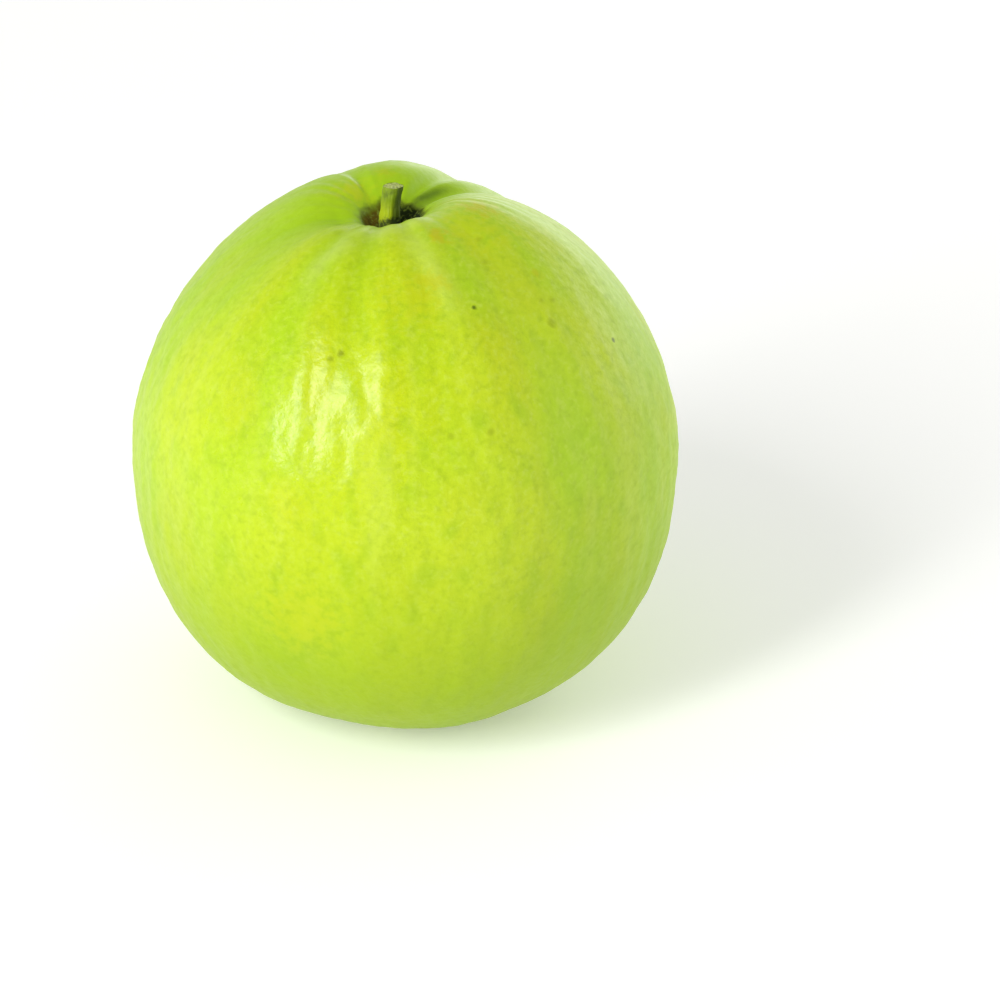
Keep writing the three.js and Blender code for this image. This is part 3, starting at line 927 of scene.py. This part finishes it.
# The stage: a pale floor wide enough to fill every view
FLOOR_SIZE = 4.0
FLOOR_COLOUR = colour(240, 240, 238)
FLOOR_ROUGHNESS, FLOOR_IOR, FLOOR_GLOW = 0.8, 1.2, 0.27


def add_floor():
    half = FLOOR_SIZE / 2
    mesh = bpy.data.meshes.new("floor")
    corners = [(-half, -half, 0), (half, -half, 0), (half, half, 0), (-half, half, 0)]
    mesh.from_pydata(corners, [], [(0, 1, 2, 3)])
    shader = Shader("floor")
    shader.set(Base_Color=FLOOR_COLOUR, Roughness=FLOOR_ROUGHNESS, IOR=FLOOR_IOR)
    shader.set(Emission_Color=FLOOR_COLOUR, Emission_Strength=FLOOR_GLOW)
    mesh.materials.append(shader.material)
    floor = bpy.data.objects.new("floor", mesh)
    bpy.context.scene.collection.objects.link(floor)


# Soft studio light. Softboxes: direction from the fruit, distance and size in metres, radiance
SOFTBOXES = (
    ("key", (-0.58, -0.615, 0.53), 0.9, (0.19, 0.56), 15.4),
    ("halo", (-0.62, -0.52, 0.58), 1.0, (1.4, 0.5), 0.45),
    ("side", (0.63, 0.75, 0.21), 1.2, (2.0, 0.5), 3.0),
)
# The room: its radiance near the level and above, and the heights of a direction between them
LEVEL_RADIANCE, UPPER_RADIANCE = 0.87, 0.43
LEVEL_ENDS, UPPER_STARTS = 0.25, 0.60


def add_softbox(name, direction, distance, size, radiance):
    light = bpy.data.lights.new(name, "AREA")
    light.shape = "RECTANGLE"
    light.size, light.size_y = size
    light.energy = radiance * np.pi * size[0] * size[1]
    lamp = bpy.data.objects.new(name, light)
    bpy.context.scene.collection.objects.link(lamp)
    toward = Vector(direction).normalized()
    lamp.location = MIDDLE * MM + toward * distance
    lamp.rotation_euler = toward.to_track_quat("Z", "Y").to_euler()


def add_world():
    world = bpy.data.worlds.new("studio")
    bpy.context.scene.world = world
    world.use_nodes = True
    tree = world.node_tree
    direction = tree.nodes.new("ShaderNodeTexCoord").outputs["Generated"]
    split = tree.nodes.new("ShaderNodeSeparateXYZ")
    radiance = tree.nodes.new("ShaderNodeMapRange")
    radiance.interpolation_type = "SMOOTHSTEP"
    rise = (LEVEL_ENDS, UPPER_STARTS, LEVEL_RADIANCE, UPPER_RADIANCE)
    for socket, value in zip(radiance.inputs[1:5], rise):
        socket.default_value = value
    tree.links.new(direction, split.inputs[0])
    tree.links.new(split.outputs["Z"], radiance.inputs["Value"])
    tree.links.new(radiance.outputs[0], tree.nodes["Background"].inputs["Strength"])
    tree.nodes["Background"].inputs["Color"].default_value = (1, 1, 1, 1)


# The photograph's view: how far above level it looks down from, and how far away it stands
CAMERA_ELEVATION = 26.0
CAMERA_DISTANCE = 600.0
SENSOR_MM = 36.0
# The photograph is 1000 pixels each way, and the fruit's middle lies left of and above its centre
FRAME_PX = 1000
FOCAL_PX = 3412
FRUIT_MIDDLE_PX = (405.6, 437.0)


def add_camera():
    camera = bpy.data.cameras.new("camera")
    camera.sensor_width = SENSOR_MM
    camera.lens = SENSOR_MM * FOCAL_PX / FRAME_PX
    viewer = bpy.data.objects.new("camera", camera)
    bpy.context.scene.collection.objects.link(viewer)
    tilt = Euler((radians(90 - CAMERA_ELEVATION), 0, 0)).to_matrix()
    place = MIDDLE + tilt @ Vector((0, 0, CAMERA_DISTANCE))
    aside = atan((FRAME_PX / 2 - FRUIT_MIDDLE_PX[0]) / FOCAL_PX)
    below = atan((FRAME_PX / 2 - FRUIT_MIDDLE_PX[1]) / FOCAL_PX)
    turn = Matrix.Rotation(-aside, 3, "Y") @ Matrix.Rotation(-below, 3, "X")
    viewer.matrix_world = Matrix.Translation(place * MM) @ (tilt @ turn).to_4x4()
    bpy.context.scene.camera = viewer


add_camera()
add_floor()
add_world()
for softbox in SOFTBOXES:
    add_softbox(*softbox)
add_fruit()
add_stalk()
add_calyx()
bpy.context.scene.view_settings.view_transform = "Standard"
